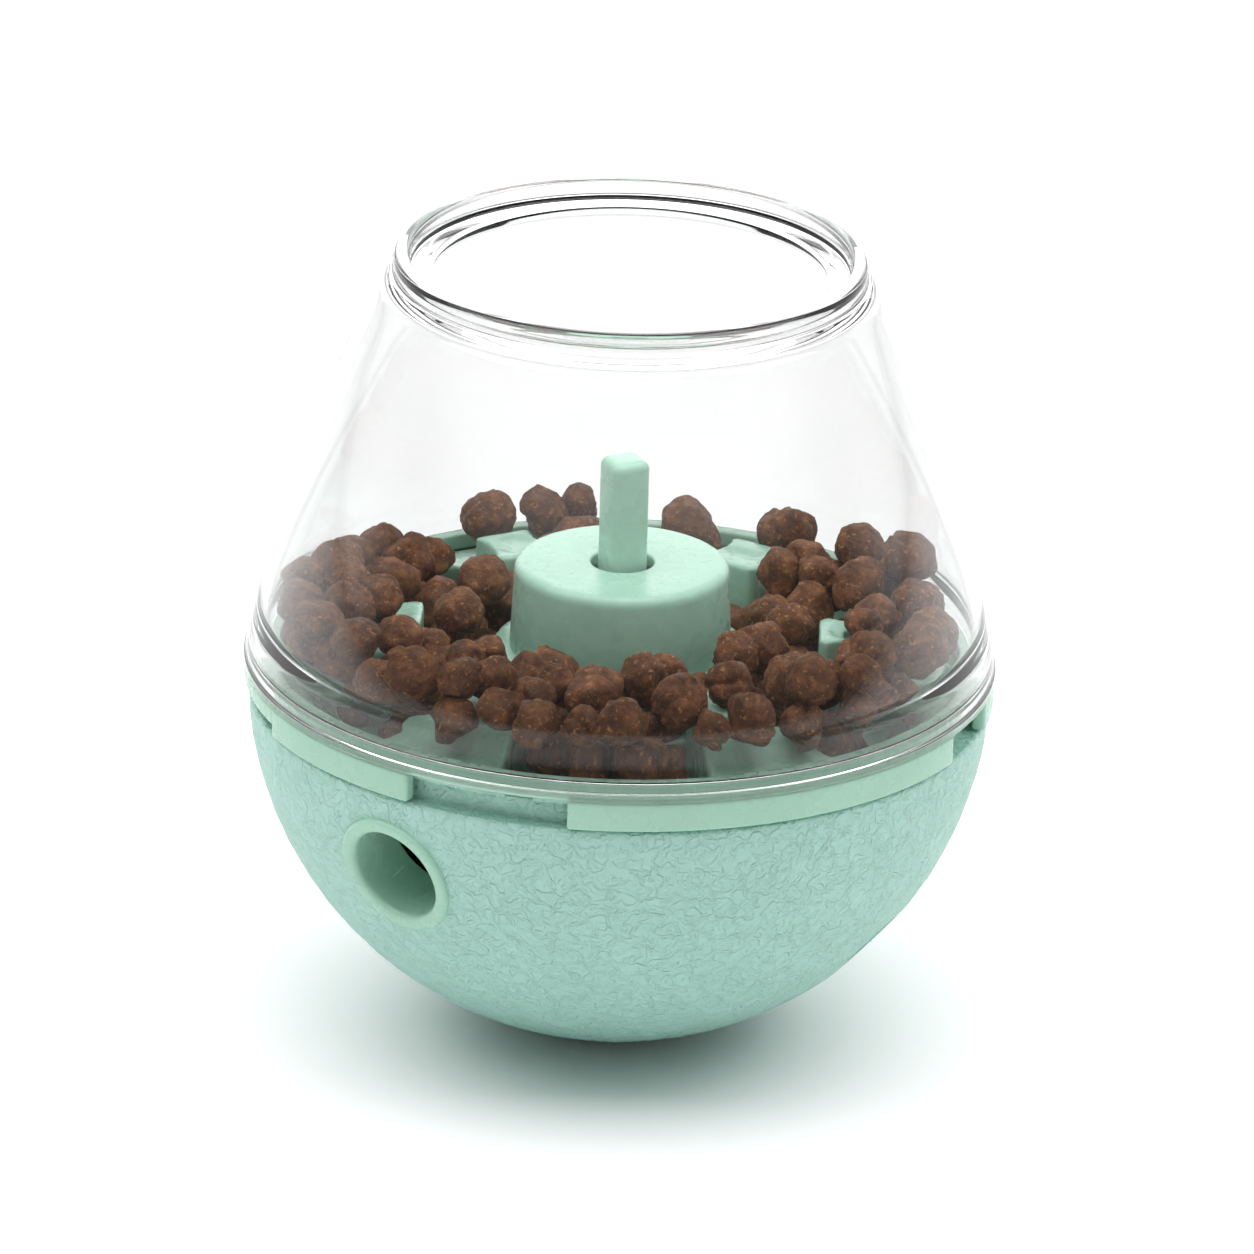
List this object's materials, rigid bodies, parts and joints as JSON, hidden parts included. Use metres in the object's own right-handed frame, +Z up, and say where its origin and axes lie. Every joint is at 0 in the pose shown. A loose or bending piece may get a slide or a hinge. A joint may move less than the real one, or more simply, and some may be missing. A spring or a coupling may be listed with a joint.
{
  "type": "cat treat ball",
  "caption": "Weighted round treat ball for cats with a food tray, a turning drop regulator, a side outlet and a clear open-topped dome.",
  "frame": {"origin": "middle of the flat spot that the ball stands on", "axes": "+Z up through the dome's open mouth; the front, which the outlet faces at the left, is -Y"},
  "size_m": [0.11, 0.11, 0.1185],
  "materials": {
    "bowl": "rough, fine orange-peel skin",
    "mint": "smooth, softly glossy",
    "clear": "clear and glossy",
    "iron": "bare casting",
    "steel": "plated",
    "rubber": "matte",
    "kibble": "dry, grainy"
  },
  "bodies": {
    "base": {"base_bowl": "bowl", "outlet_tube": "mint", "counterweight": "iron", "weight_cover": "mint", "weight_cover_screws": "steel", "food_tray": "mint", "drum": "mint", "drum_screws": "steel", "tray_kibble": "kibble", "bowl_kibble": "kibble"},
    "cover": {"lock_ring": "mint", "clear_dome": "clear"},
    "regulator": {"post": "mint", "friction_washer": "rubber", "shutter": "mint", "shutter_washer": "steel", "shutter_screw": "steel"}
  },
  "joints": [
    {"name": "cover_twist", "type": "hinge", "parent": "base", "child": "cover", "pos_m": [0, 0, 0.054], "axis": [0, 0, 1], "range_deg": [0, 22]},
    {"name": "regulator_turn", "type": "hinge", "parent": "base", "child": "regulator", "pos_m": [0, 0, 0.058], "axis": [0, 0, 1], "range_deg": [0, 30]}
  ]
}
